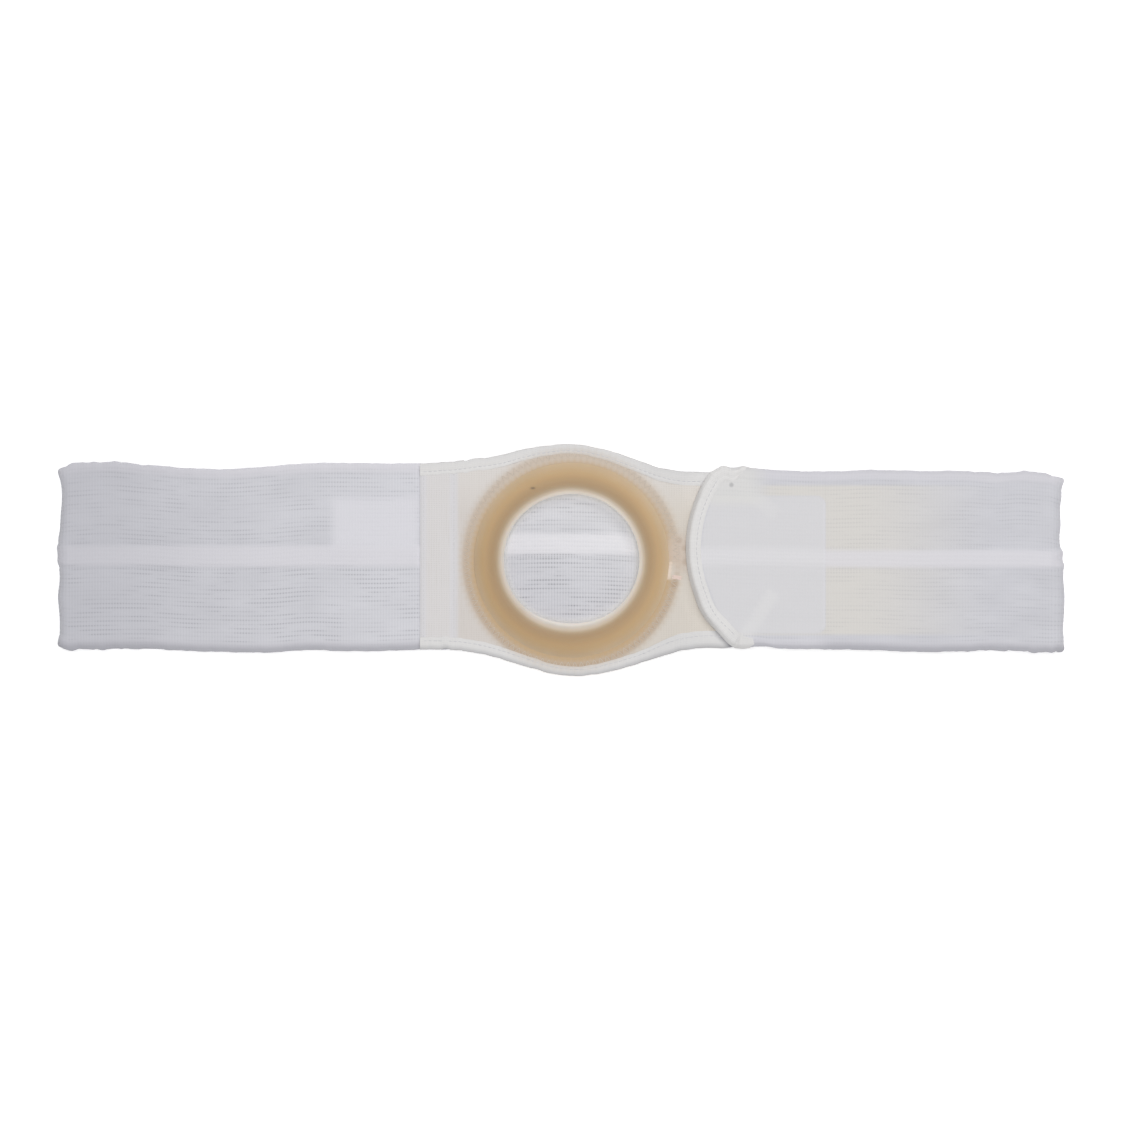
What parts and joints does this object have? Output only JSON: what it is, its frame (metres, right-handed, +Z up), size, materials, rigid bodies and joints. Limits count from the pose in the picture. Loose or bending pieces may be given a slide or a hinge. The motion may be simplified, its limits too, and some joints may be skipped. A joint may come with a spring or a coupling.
{
  "type": "ostomy support belt",
  "caption": "Closed elastic waist belt lying flat, with a bound front panel, a rubber support ring round a pouch opening and a D-shaped hook tab.",
  "frame": {"origin": "on the surface that the belt lies on, under the middle of its box", "axes": "+X along the belt towards the fastened side, +Y across the belt towards its upper edge, +Z up through the front"},
  "size_m": [0.5634, 0.13, 0.0158],
  "materials": {
    "knit": "white ribbed elastic knit, matt",
    "panel_cloth": "cream fine stretch cloth, matt",
    "gum_rubber": "tan translucent gum rubber, satin",
    "tape": "white folded binding tape, matt",
    "hook_tape": "white hook tape, matt",
    "label_cloth": "white woven label, blank"
  },
  "bodies": {
    "root": {"elastic_band": "knit", "front_panel": "panel_cloth", "support_ring": "gum_rubber", "panel_binding_top": "tape", "panel_binding_bottom": "tape", "tab_binding": "tape", "hook_patch": "hook_tape", "inner_label": "label_cloth"}
  },
  "joints": []
}
